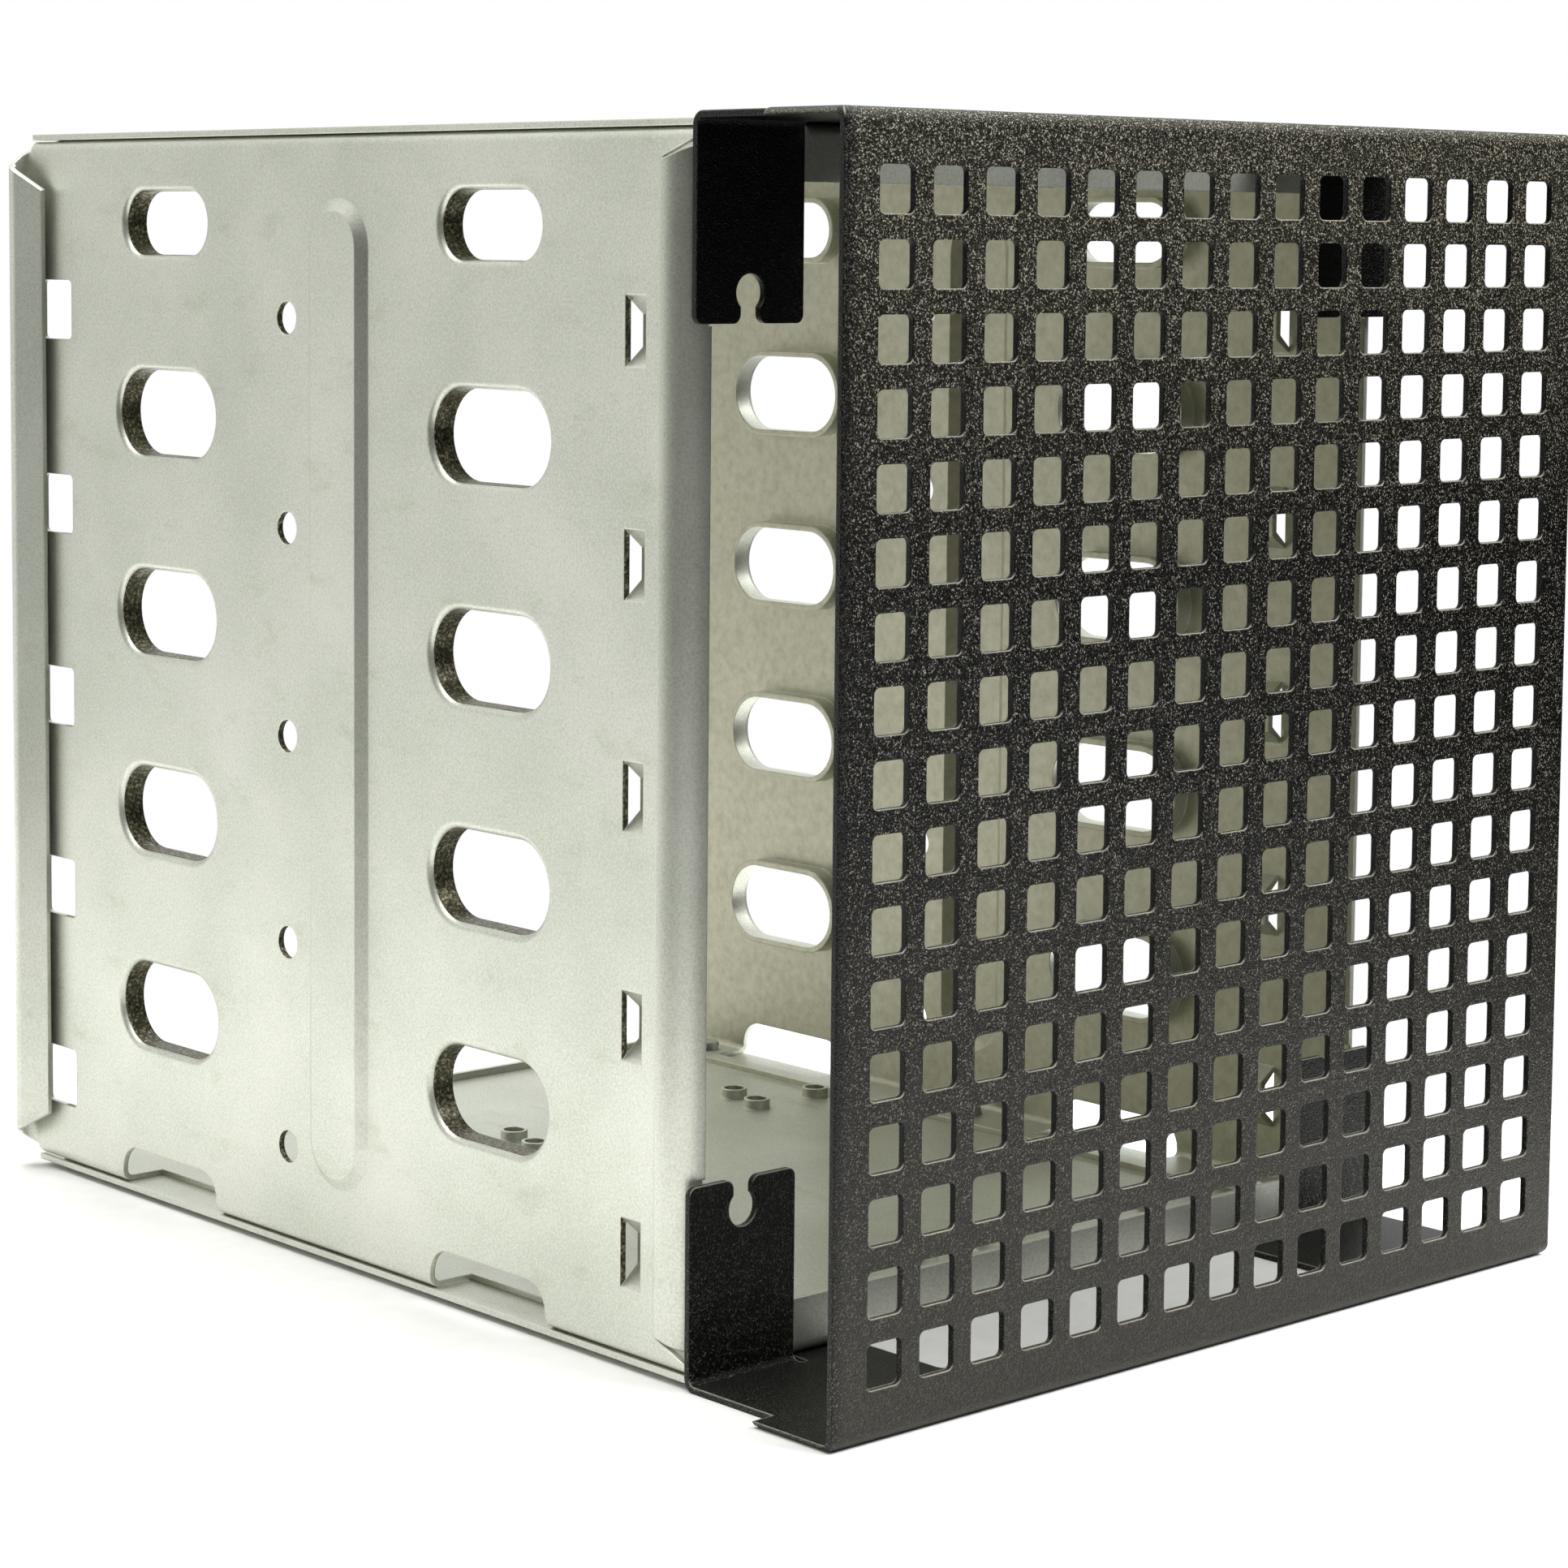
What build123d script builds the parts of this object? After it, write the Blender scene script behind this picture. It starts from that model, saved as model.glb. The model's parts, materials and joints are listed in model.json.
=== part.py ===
from build123d import *
from math import cos, pi, radians, sin
import os

os.makedirs("parts", exist_ok=True)

# Drive cage: three 5.25 inch bays wide, five 3.5 inch drives, standing on one side wall.
# X across the front, Y from the perforated front to the open rear, Z up; millimetres.
# Working coordinates run from the front, left, bottom corner; everything is moved at the end
# so that the origin lies under the middle of the whole object.

# sheet
t = 0.8                 # sheet thickness, all five panels
bend_in = 0.8           # inner bend radius of the plain bends

# front bezel
bezel_w = 127.5         # three bays of 42.5
bezel_h = 145.4         # width of a 5.25 inch bay device
bezel_corner = 1.2
skirt = 13.0            # depth of the full width skirt, top and bottom
tab_y = 27.4            # front face of the fan tabs: a 25 mm fan fits in front of them
tab_w = 16.1
tab_rise = 20.2         # notch centre above the edge: the four lie 105 mm apart, as on a 120 mm fan
tab_over = 3.5          # tab end beyond the notch centre
notch_r = 2.15
notch_neck = 2.9
tab_corner = 1.0
slit = 1.0              # relief between a tab and the fixing ear beside it
ear_w = 9.7             # fixing ear, at the inner side of each arm
ear_len = 13.0          # its length, from the back of the tab

# perforation of the front
hole_pitch = 8.0
hole = 5.25
hole_corner = 0.8
rim_min = 5.0           # least solid rim round the perforation

# cage
inset = 3.2             # outer face of a side panel from the bezel edge
cage_l = 140.0          # cage front plane to the start of the rear hem
flange = 9.4            # inward flange of the side panels, under the plates
plate_gap = 0.3         # plate edge inside the outer face of the side panel

# side panel features, depth from the cage front and height of the lowest row
drive_pitch = 26.7
drives = 5
row_z = 13.9            # lowest row of louvres, round holes and slots
lip_r, lip_deg = 5.0, 75.0
lip_end = 3.4           # strip left above and below the rolled front lip, at its root
lip_rise = 2.0          # how much narrower the strip is at the front
lip_gap = 0.4
lip_cut = 2.95          # width of the lip behind the tabs
hem_r = (inset - t) / 2 # inner radius of the rear hem: its far side is flush with the bezel
hem_close = 19.4        # the hem is rolled this many degrees beyond half a turn
hem_leg = 4.7
hem_end = 1.0           # hem end to panel end at the root
hem_slope = 6.0         # how much shorter the free edge is, at each end
louvre_y, louvre_w, louvre_h, louvre_d = 7.9, 3.6, 8.3, 2.6
big_y = (36.9, cage_l - 33.3)   # centres of the two columns of plunged slots
big_l, big_h = 22.8, 11.4
small_l, small_h = 19.3, 8.4
slot_rise = 13.4        # plunged slot above its louvre row
small_z = 132.6
foot_z = 7.0            # top of the half slots across the lower bend
collar = 3.5            # depth of a plunged collar, from the outer face
collar_edge = 0.9       # rounding of its outer edge
rib_y, rib_w, rib_z0, rib_z1, rib_d = cage_l / 2 - 2.6, 12.6, 10.3, 135.8, 1.0
rib_flank = 1.6
round_y, round_r = cage_l / 2 + 8.6, 2.1
rear_y0, rear_y1, rear_h = cage_l - 10.2, cage_l - 2.6, 8.1
right_shift = 7.6       # the right panel has the same pattern this much further back

# plates
front_lip = 6.9         # turned front edge of the top and bottom plate
rear_lip = 1.9
lip_x = 6.0             # start of the plate lip, from the outer face of the side panel
boss_r, boss_hole, boss_h = 1.95, 1.5, 1.4
bay = 42.3
boss_x = [bezel_w / 2 + s for k in (-1, 0, 1) for s in (k * bay - 5.9, k * bay + 5.9)]
boss_y = (45.3, 124.5)  # 79.2 apart
extra = (2.0, 7.4)      # one more boss per pair, from the rear boss on the left of the pair

# fasteners
rivet_y = (11.8, cage_l / 2 + 0.8, cage_l - 10.2)   # from the cage front
rivet_x = 5.2           # from the outer face of the side panel
rivet_r, rivet_head, rivet_tail, rivet_tail_r = 1.6, 2.6, 1.2, 2.3
ear_screw_r, ear_head_r, ear_screw_l = 1.4, 2.5, 4.4

# derived
cage_y = tab_y + t
cage_z0, cage_z1 = t, bezel_h - t
side_z0, side_z1 = cage_z0 + t, cage_z1 - t
hem_y = cage_y + cage_l
depth = hem_y + hem_r + t
cols, rows = (int((size - hole - 2 * rim_min) / hole_pitch) + 1 for size in (bezel_w, bezel_h))
tab_x0, tab_x1 = inset, inset + tab_w
notch_x, notch_z = (tab_x0 + tab_x1) / 2, tab_rise
tab_top = notch_z + tab_over
ear_x = tab_x1 + slit
arm_in = ear_x + ear_w
ear_y1 = cage_y + ear_len
ear_screw = ((ear_x + arm_in) / 2, cage_y + 7.5)
row_zs = [row_z + drive_pitch * k for k in range(drives)]
centre = Location((-bezel_w / 2, -depth / 2, 0))


def block(x0, x1, y0, y1, z0, z1):
    return Pos((x0 + x1) / 2, (y0 + y1) / 2, (z0 + z1) / 2) * Box(x1 - x0, y1 - y0, z1 - z0)


def in_yz(sketch, x):
    """Sketch drawn with its own x along Y and its own y along Z, at this X."""
    return Plane(origin=(x, 0, 0), x_dir=(0, 1, 0), z_dir=(1, 0, 0)) * sketch


def rod(x, y, z0, z1, r, r1=None):
    if r1 is None:
        return Pos(x, y, (z0 + z1) / 2) * Cylinder(r, z1 - z0)
    return Pos(x, y, (z0 + z1) / 2) * Cone(r, r1, z1 - z0)


def flipped(shape):
    """The same thing on the other plate: mirrored about mid height."""
    return mirror(shape, Plane.XY.offset(bezel_h / 2))


def handed(shape):
    """The same thing on the other side: mirrored about mid width."""
    return mirror(shape, Plane.YZ.offset(bezel_w / 2))


def front_bezel():
    r_out = bend_in + t
    outer = block(0, bezel_w, 0, cage_y, 0, bezel_h)
    outer = fillet(outer.edges().filter_by(Axis.X).group_by(Axis.Y)[0], r_out)
    inner = block(-1, bezel_w + 1, t, cage_y + 1, t, bezel_h - t)
    inner = fillet(inner.edges().filter_by(Axis.X).group_by(Axis.Y)[0], bend_in)
    body = outer - inner
    # skirt, then the arms that reach back to the tabs
    for x0, x1 in ((-1, tab_x0), (arm_in, bezel_w - arm_in), (bezel_w - tab_x0, bezel_w + 1)):
        gap = block(x0, x1, skirt, cage_y + 1, -1, bezel_h + 1)
        if x0 > 0:
            gap = fillet(gap.edges().filter_by(Axis.Z).group_by(Axis.Y)[0], 1.5)
        body -= gap
    body -= block(-1, bezel_w + 1, tab_y - 2.5, cage_y + 1, -1, bezel_h + 1)
    # one corner: the bent tab with its notch, and the ear screwed to the cage
    y0 = tab_y - 2.5
    tab = block(tab_x0, tab_x1, y0, cage_y, 0, tab_top)
    tab = fillet(tab.edges().filter_by(Axis.X).group_by(Axis.Y)[-1].sort_by(Axis.Z)[0], r_out)
    tab -= fillet(block(tab_x0 - 1, tab_x1 + 1, y0 - 1, tab_y, t, tab_top + 1).edges()
                  .filter_by(Axis.X).group_by(Axis.Y)[-1].sort_by(Axis.Z)[0], bend_in)
    tab = fillet(tab.edges().filter_by(Axis.Y).group_by(Axis.Z)[-1], tab_corner)
    mouth = Pos(notch_x, notch_z) * Circle(notch_r)
    mouth += Pos(notch_x, notch_z + tab_over / 2 + 0.5) * Rectangle(notch_neck, tab_over + 1)
    flare = Pos(notch_x, tab_top) * Rectangle(notch_neck + 2.2, 2.2)
    for s in (-1, 1):
        flare -= Pos(notch_x + s * (notch_neck / 2 + 1.1), tab_top - 1.1) * Circle(1.1)
    mouth += flare
    cut = extrude(Plane(origin=(0, cage_y + 1, 0), x_dir=(1, 0, 0), z_dir=(0, -1, 0)) * mouth, 3)
    tab -= cut
    ear = block(ear_x, arm_in, y0, ear_y1, 0, t)
    ear = fillet(ear.edges().filter_by(Axis.Z).group_by(Axis.Y)[-1], 2.0)
    ear -= rod(*ear_screw, -1, t + 1, ear_screw_r + 0.15)
    ear -= rod(*ear_screw, 0, 1.1, ear_head_r + 0.1, ear_head_r + 0.1 - 1.1)
    corner = tab + ear + block(tab_x1 - 0.01, ear_x + 0.01, y0, y0 + 1.0, 0, t)
    corner += handed(corner)
    body += corner
    body += flipped(corner)
    # rounded corners of the front plate
    rim = RectangleRounded(bezel_w, bezel_h, bezel_corner)
    rim = Plane(origin=(bezel_w / 2, cage_y + 20, bezel_h / 2), x_dir=(1, 0, 0), z_dir=(0, -1, 0)) * rim
    body &= extrude(rim, cage_y + 30)
    # square perforation
    holes = Sketch() + [loc * RectangleRounded(hole, hole, hole_corner)
                        for loc in GridLocations(hole_pitch, hole_pitch, cols, rows)]
    face = Plane(origin=(bezel_w / 2, t + 1, bezel_h / 2), x_dir=(1, 0, 0), z_dir=(0, -1, 0))
    return body - extrude(face * holes, t + 2)


def plunged(length, height, y, z):
    """Wall and opening of one slot whose edge is drawn inward into a collar."""
    at = Pos(y, z)
    wall = extrude(in_yz(at * SlotOverall(length + 2 * t, height + 2 * t), inset), collar)
    cut = extrude(in_yz(at * SlotOverall(length + 6, height + 6), inset - 1), 1)
    cut += extrude(in_yz(at * SlotOverall(length, height), inset - 0.5), collar + 1)
    rim = [e for e in cut.edges() if abs(e.center().X - inset) < 1e-4
           and abs(e.center().Y - y) < length / 2 + 0.1 and abs(e.center().Z - z) < height / 2 + 0.1]
    return wall, fillet(rim, collar_edge)


def front_relief(gap):
    """Side view of the opening in the web that the rolled front lip fills, less a gap at each end."""
    root, z0, z1 = cage_y + lip_r + 0.2, side_z0 + lip_end + gap, side_z1 - lip_end - gap
    return Polygon((root, z0), (cage_y, z0 - lip_rise), (cage_y - 1, z0 - lip_rise), (cage_y - 1, z1 + lip_rise),
                   (cage_y, z1 + lip_rise), (root, z1), align=None)


def rear_hem():
    """Hem curled outward and forward, leaning in at its free edge, with sloping ends."""
    x0, x1 = inset, inset + t
    loop = CenterArc((x0 - hem_r, hem_y), hem_r + t / 2, 0, 180 + hem_close)
    end, lean = loop @ 1, radians(hem_close)
    leg = Line((end.X, end.Y), (end.X + hem_leg * sin(lean), end.Y - hem_leg * cos(lean)))
    hem = sweep_wall(loop, side_z0, side_z1) + sweep_wall(leg, side_z0, side_z1)
    # the blank is cut straight: the ends rise evenly round the curl and along the leg
    half_turn = pi * (hem_r + t / 2)
    low, mid = side_z0 - 1, side_z0 + hem_end + hem_slope * half_turn / (half_turn + hem_leg + 0.5)
    free, reach = side_z0 + hem_end + hem_slope, hem_y - hem_leg - 0.6
    tip = extrude(Plane.YZ.offset(-1) * Polygon((hem_y, low), (hem_y, mid), (reach, free), (reach, low),
                                                align=None), inset + 0.7, dir=(1, 0, 0))
    curl = extrude(Plane.XZ.offset(-hem_y) * Polygon((x1 + 1, low), (x1 + 1, side_z0 + hem_end),
                                                     (x1, side_z0 + hem_end), (0, mid), (-1, mid), (-1, low),
                                                     align=None), 6, dir=(0, 1, 0))
    for piece in (tip, curl):
        hem -= piece
        hem -= flipped(piece)
    return hem


def side_panel(shift, opens_rear, rear_slots):
    """Left hand panel: shift moves the whole pattern back, the louvres open to the rear or to the front."""
    x0, x1 = inset, inset + t
    # C section: web with an inward flange at the top and at the bottom
    r_out = bend_in + t
    web = block(x0, x0 + flange, cage_y, hem_y, side_z0, side_z1)
    web = fillet(web.edges().filter_by(Axis.Y).group_by(Axis.X)[0], r_out)
    hollow = block(x1, x0 + flange + 1, cage_y - 1, hem_y + 1, side_z0 + t, side_z1 - t)
    web -= fillet(hollow.edges().filter_by(Axis.Y).group_by(Axis.X)[0], bend_in)
    # the flanges stop short of the plate lips at the front and of the rear edge
    for z0, z1 in ((side_z0 - 1, side_z0 + 2), (side_z1 - 2, side_z1 + 1)):
        web -= block(x0 + 5.2, x0 + flange + 1, cage_y - 1, cage_y + 2.4, z0, z1)
        web -= block(x1 + 0.1, x0 + flange + 1, hem_y - 5.0, hem_y + 1, z0, z1)
    # rolled front lip
    web -= extrude(in_yz(front_relief(0), x0 - 1), 6.2, dir=(1, 0, 0))
    root = cage_y + lip_r + 0.2
    arc = CenterArc((x0 + lip_r - t / 2, root), lip_r - t / 2, 180, lip_deg)
    lip = sweep_wall(arc, side_z0, side_z1) & extrude(in_yz(front_relief(lip_gap), x0 - 1), 8, dir=(1, 0, 0))
    for a, b in ((0, tab_top + 0.3), (bezel_h - tab_top - 0.3, bezel_h)):
        lip -= block(x0 + lip_cut, x0 + lip_r + 1, cage_y - 1, root, a, b)
    panel = web + lip + rear_hem()
    # raised rib
    mid_z, rib_l = (rib_z0 + rib_z1) / 2, rib_z1 - rib_z0
    at = Pos(cage_y + rib_y + shift, mid_z) * Rot(0, 0, 90)
    outer, inner = (loft([in_yz(at * SlotOverall(rib_l - less, rib_w - less), x).face(),
                          in_yz(at * SlotOverall(rib_l - less - 2 * rib_flank, rib_w - less - 2 * rib_flank),
                                x - rib_d).face()])
                    for less, x in ((0, x0), (0.6, x1)))
    panel = panel + outer - inner
    # round holes, rear slots
    cuts = [Pos(x0, cage_y + round_y + shift, z) * Rot(0, 90, 0) * Cylinder(round_r, 6) for z in row_zs]
    if rear_slots:
        cuts += [fillet(block(x0 - 0.5, x1 + 1, cage_y + rear_y0, cage_y + rear_y1, z - rear_h / 2, z + rear_h / 2)
                        .edges().filter_by(Axis.X), 0.8) for z in row_zs]
    # plunged slots: four full rows, a short one above, and half ones across the lower bend
    for yc in (cage_y + y + shift for y in big_y):
        slots = [(big_l, big_h, z - drive_pitch + slot_rise) for z in row_zs[1:]] + [(small_l, small_h, small_z)]
        for length, height, z in slots:
            wall, cut = plunged(length, height, yc, z)
            panel += wall
            cuts.append(cut)
        foot = block(x0 - 1, x0 + 6.4, yc - big_l / 2, yc + big_l / 2, side_z0 - 1, foot_z)
        cuts.append(fillet(foot.edges().filter_by(Axis.X).group_by(Axis.Z)[-1], 3.6))
    for z in row_zs:
        shell, hollow = louvre(cage_y + louvre_y + shift, z, opens_rear)
        panel += shell
        cuts.append(hollow)
    for y in rivet_y:
        cut = rod(inset + rivet_x, cage_y + y, side_z0 - 2, side_z0 + 2, rivet_r)
        cuts += [cut, flipped(cut)]
    for cut in cuts:
        panel -= cut
    return panel


def sweep_wall(line, z0, z1):
    """Vertical sheet of thickness t along a line drawn in plan."""
    start = line @ 0
    side = line % 0
    across = Plane(origin=(start.X, start.Y, z0), x_dir=(side.Y, -side.X, 0), z_dir=(side.X, side.Y, 0))
    section = across * (Pos(0, -(z1 - z0) / 2 if across.y_dir.Z < 0 else (z1 - z0) / 2) * Rectangle(t, z1 - z0))
    path = Pos(0, 0, z0) * line
    return sweep(section, path=path)


def louvre(y0, z, opens_rear):
    """Body and hollow of one louvre pushed inward from y0 on, open at its deep end."""
    x0, y1, h = inset, y0 + louvre_w, louvre_h / 2

    def funnel(x_a, x_b, grow, y_end):
        wide, slim = h + grow, h - 2.3 + grow
        a = in_yz(Polygon((y0 - grow, z - wide), (y_end, z - wide), (y_end, z + wide), (y0 - grow, z + wide),
                          align=None), x_a)
        b = in_yz(Polygon((y0 + 0.4 - grow, z - slim), (y_end, z - slim), (y_end, z + slim),
                          (y0 + 0.4 - grow, z + slim), align=None), x_b)
        return loft([a.face(), b.face()])

    pair = (funnel(x0 + 0.1, x0 + louvre_d + t, 0.6, y1), funnel(x0 - 0.01, x0 + louvre_d, 0, y1 + 0.01))
    if opens_rear:
        return pair
    return [mirror(shape, Plane(origin=(0, (y0 + y1) / 2, 0), z_dir=(0, 1, 0))) for shape in pair]


def plate():
    """Bottom plate: front edge turned up 90 degrees, short rear lip, drawn bosses."""
    x0, x1 = inset + plate_gap, bezel_w - inset - plate_gap
    z0 = cage_z0
    r_out = bend_in + t
    flat = block(x0, x1, cage_y, hem_y, z0, z0 + t)
    a, b = inset + lip_x, bezel_w - inset - lip_x
    flat -= block(a, b, cage_y - 1, cage_y + 3, z0 - 1, z0 + 2)
    lip = block(a, b, cage_y, cage_y + 3, z0, z0 + front_lip)
    lip = fillet(lip.edges().filter_by(Axis.X).group_by(Axis.Y)[0].sort_by(Axis.Z)[0], r_out)
    lip -= fillet(block(a - 1, b + 1, cage_y + t, cage_y + 4, z0 + t, z0 + front_lip + 1).edges()
                  .filter_by(Axis.X).group_by(Axis.Y)[0].sort_by(Axis.Z)[0], bend_in)
    body = flat + lip
    rear = block(x0 + 6, x1 - 6, hem_y - 2.0, hem_y, z0, z0 + rear_lip)
    rear = fillet(rear.edges().filter_by(Axis.X).group_by(Axis.Y)[-1].sort_by(Axis.Z)[0], 1.2)
    rear -= block(x0, x1, hem_y - 3.0, hem_y - t, z0 + t, z0 + rear_lip + 1)
    body -= block(x0 + 6, x1 - 6, hem_y - 2.0, hem_y + 1, z0 - 1, z0 + t + 1)
    body += rear
    spots = [(x, y) for y in boss_y for x in boss_x]
    spots += [(x + extra[0], boss_y[1] + extra[1]) for x in boss_x[::2]]
    for x, y in spots:
        body += rod(x, y, z0 + t, z0 + t + boss_h, boss_r)
    for x, y in spots:
        body -= rod(x, y, z0 - 1, z0 + t + boss_h + 1, boss_hole)
    for x in (ear_screw[0], bezel_w - ear_screw[0]):
        body += rod(x, ear_screw[1], z0 + t, z0 + t + boss_h, boss_r + 0.3)
        body -= rod(x, ear_screw[1], z0 - 1, z0 + 5, ear_screw_r + 0.15)
        body -= rod(x, ear_screw[1], z0 - 0.01, z0 + 0.49, ear_head_r - t + 0.11, ear_head_r - t - 0.39)
    for x, y in rivet_spots():
        body -= rod(x, y, z0 - 1, z0 + 2, rivet_r)
        body -= rod(x, y, z0, z0 + t, rivet_head, rivet_r)
    return body


def rivet_spots():
    return [(x, cage_y + y) for x in (inset + rivet_x, bezel_w - inset - rivet_x) for y in rivet_y]


def rivet(x, y):
    """Flush rivet: countersunk head level with the plate, set tail inside the flange."""
    z0 = cage_z0
    edge = [(0, z0), (rivet_head, z0), (rivet_r, z0 + t), (rivet_r, z0 + 2 * t), (rivet_tail_r, z0 + 2 * t),
            (rivet_tail_r - 0.3, z0 + 2 * t + rivet_tail), (0, z0 + 2 * t + rivet_tail)]
    return Pos(x, y, 0) * revolve(make_face(Plane.XZ * Polyline(*edge, close=True)), Axis.Z, 360)


def ear_screws():
    x, y = ear_screw
    edge = [(0, 0.02), (ear_head_r, 0.02), (ear_screw_r, 0.02 + ear_head_r - ear_screw_r),
            (ear_screw_r, ear_screw_l), (0, ear_screw_l)]
    one = Pos(x, y, 0) * revolve(make_face(Plane.XZ * Polyline(*edge, close=True)), Axis.Z, 360)
    one -= Pos(x, y, 0) * block(-0.3, 0.3, -1.5, 1.5, -0.1, 0.5)
    one -= Pos(x, y, 0) * block(-1.5, 1.5, -0.3, 0.3, -0.1, 0.5)
    return [one, handed(one)]


def save(name, shapes):
    moved = [centre * s for s in shapes]
    solids = [s for m in moved for s in m.solids()]
    body = solids[0] if len(solids) == 1 else Compound(children=solids)
    export_step(body, "parts/" + name + ".step")


bottom = plate()
bottom_rivets = [rivet(x, y) for x, y in rivet_spots()]
n = len(rivet_y)

save("front_bezel", [front_bezel()])
save("left_side_panel", [side_panel(0, True, True)])
save("right_side_panel", [handed(side_panel(right_shift, False, False))])
save("bottom_plate", [bottom])
save("top_plate", [flipped(bottom)])
save("bottom_left_rivets", bottom_rivets[:n])
save("bottom_right_rivets", bottom_rivets[n:])
save("top_left_rivets", [flipped(r) for r in bottom_rivets[:n]])
save("top_right_rivets", [flipped(r) for r in bottom_rivets[n:]])
save("bottom_bezel_screws", ear_screws())
save("top_bezel_screws", [flipped(s) for s in ear_screws()])
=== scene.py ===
import bpy
import json
import math
from mathutils import Matrix, Vector

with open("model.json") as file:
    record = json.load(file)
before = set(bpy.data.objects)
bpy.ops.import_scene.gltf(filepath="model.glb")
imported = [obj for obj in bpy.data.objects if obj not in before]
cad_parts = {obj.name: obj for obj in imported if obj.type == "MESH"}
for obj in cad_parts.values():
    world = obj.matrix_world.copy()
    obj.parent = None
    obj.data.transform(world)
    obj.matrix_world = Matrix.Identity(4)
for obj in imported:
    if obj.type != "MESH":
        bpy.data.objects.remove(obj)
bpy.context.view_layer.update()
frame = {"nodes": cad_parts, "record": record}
nodes = frame["nodes"]
MM = 0.001

# Photo, in pixels of its own 1932 square: the height straight ahead of the lens and the focal length
PHOTO = 1932.0
AHEAD_Y = 705.0
FOCAL = 4699.0
# Camera stand point in the part's frame, and the way it looks, in degrees
STAND = Vector((-338.6, -379.7, 131.3)) * MM
TURN, PITCH, ROLL = 42.16, -5.0, 0.53

# Where the finishes change, in millimetres of the part's frame
LEFT_WALL = {"X": (-58.7, 2.0), "Y": (14.0, 62.0), "Z": (72.7, 66.0)}   # middle and half size, lip and hem left out
TOP_FACE_Z = (143.4, 143.8)         # outside of the top plate
BEZEL_FACE_Y = -82.5                # everything before it belongs to the bezel's face
BEZEL_LEFT_X = -62.5                # everything left of it is a cut edge of the bezel
SHADED_LEFT_EDGE_X = (-63.2, -61.8)     # the left edge of the face, where the coat rounds off; painted shade keeps it black

# Table: the object stands on the white paper, which ends close to it on the right
TABLE_CORNERS = ((-0.2, -0.2), (0.13, -0.2), (0.13, 0.6), (-0.2, 0.6))
TABLE_FADE = (0.12, 0.19)


def rgb(code):
    """sRGB hex colour as the linear values that Blender's sockets take."""
    parts = [int(code[i:i + 2], 16) / 255 for i in (1, 3, 5)]
    return [c / 12.92 if c <= 0.04045 else ((c + 0.055) / 1.055) ** 2.4 for c in parts] + [1.0]


def add(tree, kind, feeds=None, stops=(), **settings):
    """One shader node.

    Settings are its own fields or its sockets' values. Each feed of a socket, by name or number, is an
    output, a node whose first output is meant, or a plain number. Stops are a ramp's (position, hex) pairs.
    """
    n = tree.nodes.new("ShaderNode" + kind)
    for key, value in settings.items():
        if hasattr(n, key):
            setattr(n, key, value)
        else:
            n.inputs[key.replace("_", " ")].default_value = value
    for key, source in (feeds or {}).items():
        if isinstance(source, float):
            n.inputs[key].default_value = source
        else:
            tree.links.new(source.outputs[0] if isinstance(source, bpy.types.Node) else source, n.inputs[key])
    for i, (place, code) in enumerate(stops):
        stop = n.color_ramp.elements[i] if i < 2 else n.color_ramp.elements.new(place)
        stop.position, stop.color = place, rgb(code)
    return n


def material(name, **surface):
    """New material with its shader's own values, and the place on the object in metres."""
    m = bpy.data.materials.new(name)
    m.use_nodes = True
    tree = m.node_tree
    shader = tree.nodes["Principled BSDF"]
    for key, value in surface.items():
        shader.inputs[key.replace("_", " ")].default_value = value
    return m, tree, shader, add(tree, "TexCoord").outputs["Object"]


def feed(tree, shader, **sources):
    """Links nodes to the shader's sockets."""
    for key, node in sources.items():
        tree.links.new(node.outputs[0], shader.inputs[key.replace("_", " ")])


def directions(tree, place):
    """The place and the way that the face looks, each as X, Y and Z."""
    normal = add(tree, "NewGeometry").outputs["Normal"]
    return [add(tree, "SeparateXYZ", {"Vector": v}).outputs for v in (place, normal)]


def edge_wear_and_highlight(tree, radius):
    """Rounded normal for the cut edges of the sheet, and a mask that is 1 on them and 0 on the flats."""
    soft = add(tree, "Bevel", samples=6, Radius=radius)
    flat = add(tree, "NewGeometry").outputs["Normal"]
    same = add(tree, "VectorMath", {0: soft, 1: flat}, operation="DOT_PRODUCT").outputs["Value"]
    return soft, add(tree, "MapRange", {"Value": same}, From_Min=0.995, From_Max=0.85)


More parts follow.
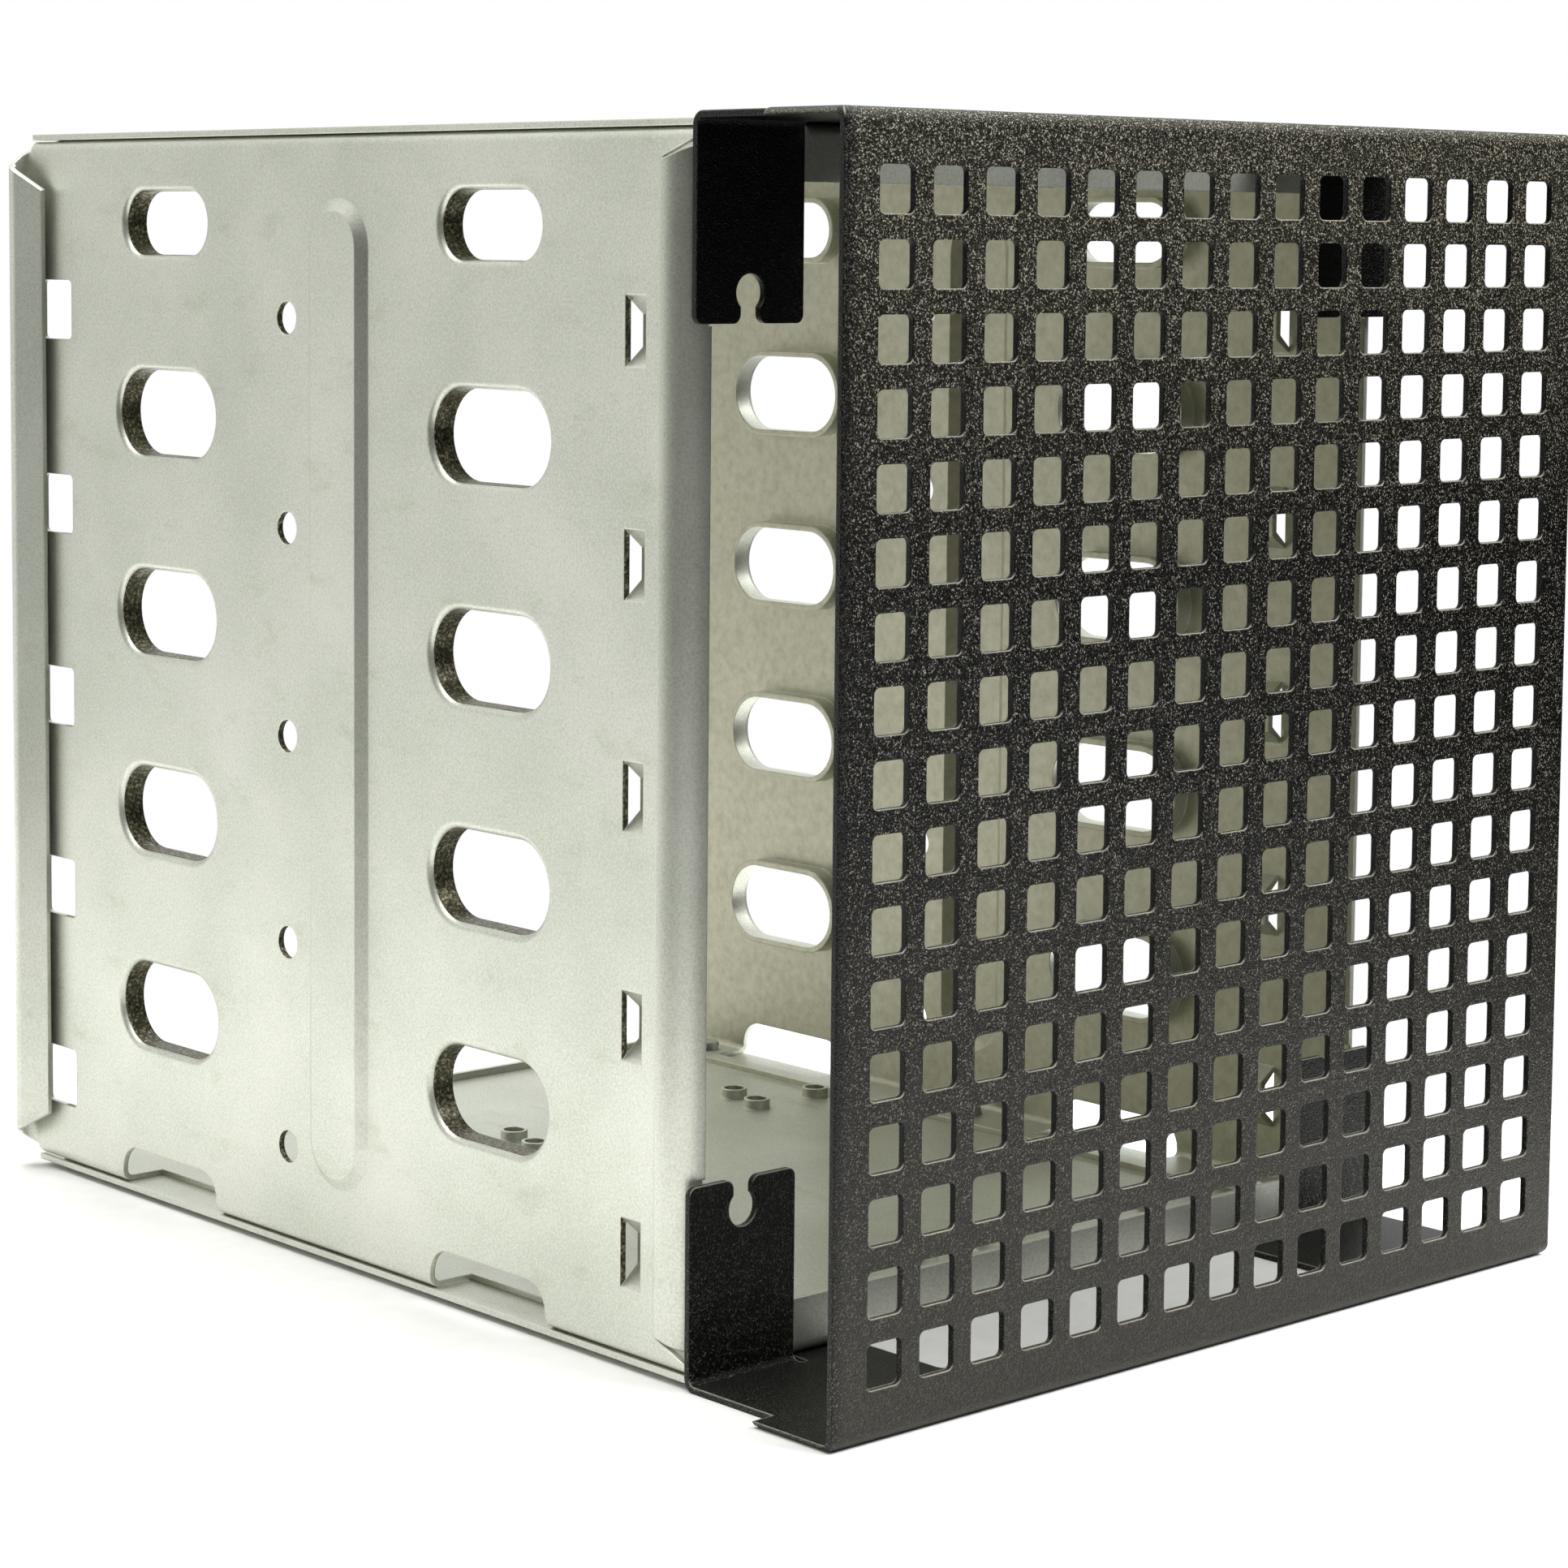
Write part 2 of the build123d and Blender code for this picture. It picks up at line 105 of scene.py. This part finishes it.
def zinc_sheet():
    """Galvanised sheet: pale, faintly green satin metal, even at arm's length, with handling marks close up."""
    m, tree, shader, place = material("galvanised_steel_sheet", Metallic=0.8)
    at, facing = directions(tree, place)
    # soft clouds some 20 mm across, left by the zinc bath
    cloud = add(tree, "TexNoise", {"Vector": place}, Scale=1 / (22 * MM), Detail=3.0, Roughness=0.5)
    # grain of about 0.3 mm that keeps the sheet from looking polished
    grain = add(tree, "TexNoise", {"Vector": place}, Scale=1 / (0.3 * MM), Detail=2.0, Roughness=0.7)
    # dull smudges a few millimetres across, drawn out along the rolling direction
    along = add(tree, "Mapping", {"Vector": place}, Scale=(1.0, 0.45, 1.0))
    smudge = add(tree, "TexNoise", {"Vector": along}, Scale=1 / (5 * MM), Detail=5.0, Roughness=0.65)
    tone = add(tree, "MixRGB", {"Color1": cloud, "Color2": grain}, Fac=0.65)
    even = add(tree, "ValToRGB", {"Fac": tone}, ((0.38, "#c8cbbf"), (0.5, "#d6d9cd"), (0.62, "#e2e4da")))
    dull = add(tree, "ValToRGB", {"Fac": smudge}, ((0.58, "#ffffff"), (0.75, "#ebece5")))
    stained = add(tree, "MixRGB", {"Color1": even, "Color2": dull}, blend_type="MULTIPLY", Fac=0.8)
    # cut edges: painted highlight, a little brighter than the faces
    soft, edge = edge_wear_and_highlight(tree, 0.3 * MM)
    painted_edge_highlight = add(tree, "MixRGB", {"Fac": edge, "Color1": stained}, Color2=rgb("#e9eadf"))
    # inner faces of the side walls: painted shade, a duller, warmer grey than outside, with faint specks
    inner_shade_mask = add(tree, "Math", {0: facing["X"], 1: at["X"]}, operation="MULTIPLY")
    inner_shade_mask = add(tree, "MapRange", {"Value": inner_shade_mask}, From_Min=-0.02, From_Max=-0.04)
    inner_shade_specks = add(tree, "TexNoise", {"Vector": place}, Scale=1 / (1.4 * MM), Detail=3.0, Roughness=0.6)
    inner_shade_specks = add(tree, "ValToRGB", {"Fac": inner_shade_specks}, ((0.32, "#a5a38f"), (0.5, "#afad99"), (0.7, "#b8b6a3")))
    with_inner_shade = add(tree, "MixRGB", {"Fac": inner_shade_mask, "Color1": painted_edge_highlight, "Color2": inner_shade_specks})
    # walls of the drawn slots and louvres of the left panel: torn by the tool and grainy, darkened by painted
    # shade, with pale crumbs
    torn_and_shaded_wall = add(tree, "Math", {0: facing["X"]}, operation="ABSOLUTE")
    torn_and_shaded_wall = add(tree, "Math", {0: torn_and_shaded_wall, 1: 0.35}, operation="LESS_THAN")
    for axis, (middle, half) in LEFT_WALL.items():
        near = add(tree, "Math", {0: at[axis], 1: middle * MM, 2: half * MM}, operation="COMPARE")
        torn_and_shaded_wall = add(tree, "Math", {0: torn_and_shaded_wall, 1: near}, operation="MULTIPLY")
    crumbs = add(tree, "TexNoise", {"Vector": place}, Scale=1 / (0.4 * MM), Detail=3.0, Roughness=0.7)
    torn_wall_with_shade = add(tree, "ValToRGB", {"Fac": crumbs}, ((0.4, "#3d3b30"), (0.55, "#6f6c5a"), (0.66, "#c4bea4")))
    colour = add(tree, "MixRGB", {"Fac": torn_and_shaded_wall, "Color1": with_inner_shade, "Color2": torn_wall_with_shade})
    # outside of the top plate: rolled smoother, so that it mirrors the studio and not the lamps
    top = add(tree, "MapRange", {"Value": at["Z"]}, From_Min=TOP_FACE_Z[0] * MM, From_Max=TOP_FACE_Z[1] * MM)
    top = add(tree, "Math", {0: top, 1: facing["Z"]}, operation="MULTIPLY", use_clamp=True)
    rough = add(tree, "MapRange", {"Value": smudge}, From_Min=0.3, From_Max=0.75, To_Min=0.39, To_Max=0.45)
    rough = add(tree, "Mix", {0: top, 2: rough, 3: 0.27})
    bump = add(tree, "Bump", {"Height": grain, "Normal": soft.outputs["Normal"]}, Strength=0.4, Distance=0.03 * MM)
    feed(tree, shader, Base_Color=colour, Roughness=rough, Normal=bump)
    return m


def black_coat():
    """Powder coat: warm black with fine pebbles; in front, tone by height that is partly dust and scuffs and partly
    painted light; pale rims, partly worn and partly painted highlight.
    """
    m, tree, shader, place = material("black_powder_coat", Specular_IOR_Level=0.24)
    at, facing = directions(tree, place)
    # pebbles of 0.2 mm, and patches of 9 mm in which the coat is smoother or more worn
    grit = add(tree, "TexNoise", {"Vector": place}, Scale=1 / (0.2 * MM), Detail=1.0, Roughness=0.5)
    patch = add(tree, "TexNoise", {"Vector": place}, Scale=1 / (9 * MM), Detail=3.0)
    # inside the bezel the coat is near black; low down its pebbles are painted paler, a painted highlight for the
    # little light that reaches them there
    painted_lit_pebbles_low = add(tree, "ValToRGB", {"Fac": grit}, ((0.5, "#080806"), (0.6, "#191a16"), (0.7, "#6c6d60")))
    dark = add(tree, "ValToRGB", {"Fac": grit}, ((0.5, "#020202"), (0.7, "#0d0c0a")))
    painted_light_by_height = add(tree, "MapRange", {"Value": at["Z"]}, From_Min=6 * MM, From_Max=32 * MM)
    inside = add(tree, "MixRGB", {"Fac": painted_light_by_height, "Color1": painted_lit_pebbles_low, "Color2": dark})
    # cut edges at the left of skirts, arms and tabs: thin coat, so they look dusty brown
    cut = add(tree, "MapRange", {"Value": facing["X"]}, From_Min=-0.5, From_Max=-0.8)
    for axis, side, limit in (("X", "LESS_THAN", BEZEL_LEFT_X), ("Y", "GREATER_THAN", BEZEL_FACE_Y - 1.0)):
        beyond = add(tree, "Math", {0: at[axis], 1: limit * MM}, operation=side)
        cut = add(tree, "Math", {0: cut, 1: beyond}, operation="MULTIPLY")
    thin = add(tree, "ValToRGB", {"Fac": grit}, ((0.4, "#24231c"), (0.55, "#454335"), (0.68, "#8d8a77")))
    inside = add(tree, "MixRGB", {"Fac": cut, "Color1": inside, "Color2": thin})
    # the face, by height: paler and smooth low down, black in the middle, pale and scuffed at the top; partly dust
    # and scuffs, partly painted light, with pale sparks painted on the pebbles as glints
    face_dust_and_light = add(tree, "ValToRGB", {"Fac": grit}, ((0.42, "#26251f"), (0.56, "#302e27"), (0.7, "#46433a")))
    for start, end, stops in (
            (0, 70, ((0.44, "#020201"), (0.56, "#080705"), (0.62, "#24221b"), (0.71, "#98948a"))),
            (95, 142, ((0.42, "#1a1913"), (0.52, "#2d2b23"), (0.6, "#565345"), (0.7, "#bab6a4")))):
        painted_light_by_height = add(tree, "MapRange", {"Value": at["Z"]}, From_Min=start * MM, From_Max=end * MM)
        dust_and_light_band = add(tree, "ValToRGB", {"Fac": grit}, stops)
        face_dust_and_light = add(tree, "MixRGB", {"Fac": painted_light_by_height, "Color1": face_dust_and_light, "Color2": dust_and_light_band})
    flat = add(tree, "MapRange", {"Value": facing["Y"]}, From_Min=-0.15, From_Max=-0.5)
    before = add(tree, "Math", {0: at["Y"], 1: BEZEL_FACE_Y * MM}, operation="LESS_THAN")
    front = add(tree, "Math", {0: flat, 1: before}, operation="MULTIPLY")
    # painted shade: the left edge of the face stays black
    painted_edge_shade = [x * MM for x in SHADED_LEFT_EDGE_X]
    side = add(tree, "MapRange", {"Value": at["X"]}, From_Min=painted_edge_shade[0], From_Max=painted_edge_shade[1], To_Min=0.2)
    front = add(tree, "Math", {0: front, 1: side}, operation="MULTIPLY")
    coat = add(tree, "MixRGB", {"Fac": front, "Color1": inside, "Color2": face_dust_and_light})
    # rims that turn up are pale, unevenly: partly worn coat, partly a painted highlight where light from above
    # catches them; the others keep their coat
    soft, edge = edge_wear_and_highlight(tree, 0.35 * MM)
    rising = add(tree, "SeparateXYZ", {"Vector": soft}).outputs["Z"]
    worn_and_lit_rim = add(tree, "Math", {0: rising, 1: patch}, operation="MULTIPLY")
    worn_and_lit_rim = add(tree, "MapRange", {"Value": worn_and_lit_rim}, From_Min=0.05, From_Max=0.3)
    worn_and_lit_rim = add(tree, "Math", {0: edge, 1: worn_and_lit_rim}, operation="MULTIPLY")
    colour = add(tree, "MixRGB", {"Fac": worn_and_lit_rim, "Color1": coat}, Color2=rgb("#c9c5b4"))
    rough = add(tree, "MapRange", {"Value": patch}, To_Min=0.26, To_Max=0.36)
    bump = add(tree, "Bump", {"Height": grit, "Normal": soft.outputs["Normal"]}, Strength=1.0, Distance=0.2 * MM)
    feed(tree, shader, Base_Color=colour, Roughness=rough, Normal=bump)
    return m


def plain_metal(name, light, dark, smoothest, roughest):
    """Small metal parts straight from the tool: one tone with faint mottling of 0.8 mm."""
    m, tree, shader, place = material(name, Metallic=1.0)
    mottle = add(tree, "TexNoise", {"Vector": place}, Scale=1 / (0.8 * MM), Detail=3.0)
    colour = add(tree, "ValToRGB", {"Fac": mottle}, ((0.35, dark), (0.65, light)))
    rough = add(tree, "MapRange", {"Value": mottle}, To_Min=smoothest, To_Max=roughest)
    feed(tree, shader, Base_Color=colour, Roughness=rough)
    return m


def table():
    """White table under the object; further out the camera sees the white of the world instead of it."""
    mesh = bpy.data.meshes.new("white_table")
    mesh.from_pydata([(x, y, 0.0) for x, y in TABLE_CORNERS], [], [(0, 1, 2, 3)])
    stage = bpy.data.objects.new("white_table", mesh)
    bpy.context.scene.collection.objects.link(stage)
    # matt white paper: even white with the faintest mottling, so that only the shadow is seen on it
    paper, tree, shader, place = material("white_paper", Roughness=0.9)
    fibre = add(tree, "TexNoise", {"Vector": place}, Scale=1 / (3 * MM), Detail=3.0)
    feed(tree, shader, Base_Color=add(tree, "ValToRGB", {"Fac": fibre}, ((0.3, "#f3f3f1"), (0.7, "#f7f7f5"))))
    away = add(tree, "VectorMath", {0: place}, operation="LENGTH").outputs["Value"]
    fade = add(tree, "MapRange", {"Value": away}, From_Min=TABLE_FADE[0], From_Max=TABLE_FADE[1])
    seen = add(tree, "Math", {0: fade, 1: add(tree, "LightPath").outputs["Is Camera Ray"]}, operation="MULTIPLY")
    clear = add(tree, "BsdfTransparent")
    both = add(tree, "MixShader", {0: seen, 1: shader, 2: clear})
    feed(tree, tree.nodes["Material Output"], Surface=both)
    mesh.materials.append(paper)


def studio():
    """White to the camera; to everything else a room with a white wall behind, a white ceiling and dark sides."""
    world = bpy.data.worlds.new("studio")
    world.use_nodes = True
    bpy.context.scene.world = world
    tree = world.node_tree
    way = add(tree, "SeparateXYZ", {"Vector": add(tree, "TexCoord").outputs["Generated"]}).outputs
    # from the front of the object, past its sides, to the wall behind it
    wall = add(tree, "MapRange", {"Value": way["Y"]}, From_Min=-1.0, From_Max=1.0)
    wall = add(tree, "ValToRGB", {"Fac": wall}, (
        (0.0, "#5a5a55"), (0.25, "#4a4a46"), (0.5, "#1c1c1a"),
        (0.68, "#8d8f89"), (0.8, "#f6f7f4"), (0.9, "#f4f5f2"), (1.0, "#d4d5d1")))
    ceiling = add(tree, "MapRange", {"Value": way["Z"]}, From_Min=0.42, From_Max=0.8)
    around = add(tree, "MixRGB", {"Fac": ceiling, "Color1": wall}, Color2=rgb("#f4f4f2"))
    felt = add(tree, "Background", {"Color": around}, Strength=1.0)
    seen = add(tree, "Background", Color=rgb("#ffffff"), Strength=1.0)
    ray = add(tree, "LightPath").outputs
    straight = add(tree, "Math", {0: ray["Is Camera Ray"], 1: ray["Is Transmission Ray"]}, operation="MAXIMUM")
    either = add(tree, "MixShader", {0: straight, 1: felt, 2: seen})
    feed(tree, tree.nodes["World Output"], Surface=either)


def lamp(name, at, aim, size, watts):
    """Square soft lamp; places and size in metres."""
    data = bpy.data.lights.new(name, "AREA")
    data.energy, data.size = watts, size
    o = bpy.data.objects.new(name, data)
    o.location = at
    o.rotation_mode = "QUATERNION"
    o.rotation_quaternion = (Vector(aim) - Vector(at)).to_track_quat("-Z", "Y")
    bpy.context.scene.collection.objects.link(o)


def photo_camera():
    """Camera at the photo's stand point; the shift is that of the photo's framing."""
    turn, pitch, roll = (math.radians(v) for v in (TURN, PITCH, ROLL))
    ahead = Vector((math.sin(turn) * math.cos(pitch), math.cos(turn) * math.cos(pitch), math.sin(pitch)))
    right = Vector((math.cos(turn), -math.sin(turn), 0.0))
    up = right.cross(ahead)
    right, up = right * math.cos(roll) + up * math.sin(roll), up * math.cos(roll) - right * math.sin(roll)
    lens = bpy.data.cameras.new("photo_camera")
    lens.sensor_width = 36.0
    lens.lens = FOCAL / PHOTO * lens.sensor_width
    lens.shift_y = (AHEAD_Y - PHOTO / 2) / PHOTO
    lens.clip_start, lens.clip_end = 0.01, 30.0
    camera = bpy.data.objects.new("photo_camera", lens)
    bpy.context.scene.collection.objects.link(camera)
    turned = Matrix((right, up, -ahead)).transposed().to_4x4()
    camera.matrix_world = Matrix.Translation(STAND) @ turned
    bpy.context.scene.camera = camera


looks = {
    "zinc_sheet": zinc_sheet(),
    "black_coat": black_coat(),
    # bright aluminium of the rivets, smooth from the setting tool
    "rivet": plain_metal("aluminium_rivet", "#dcdcda", "#c6c6c4", 0.28, 0.4),
    # passivated zinc of the flush screws
    "screw": plain_metal("zinc_plated_screw", "#b9bab4", "#a3a49d", 0.25, 0.38),
}
for part in frame["record"]["subparts"]:
    piece = nodes[part["node"]]
    piece.data.materials.clear()
    piece.data.materials.append(looks[part["material_slot"]])

table()
middle = (0.0, 0.0, 0.07)
lamp("top_soft", (-0.05, 0.1, 0.85), middle, 0.7, 8.0)
lamp("top_front_soft", (0.25, -0.5, 0.8), middle, 0.4, 9.0)
studio()
photo_camera()
bpy.context.scene.view_settings.view_transform = "Standard"
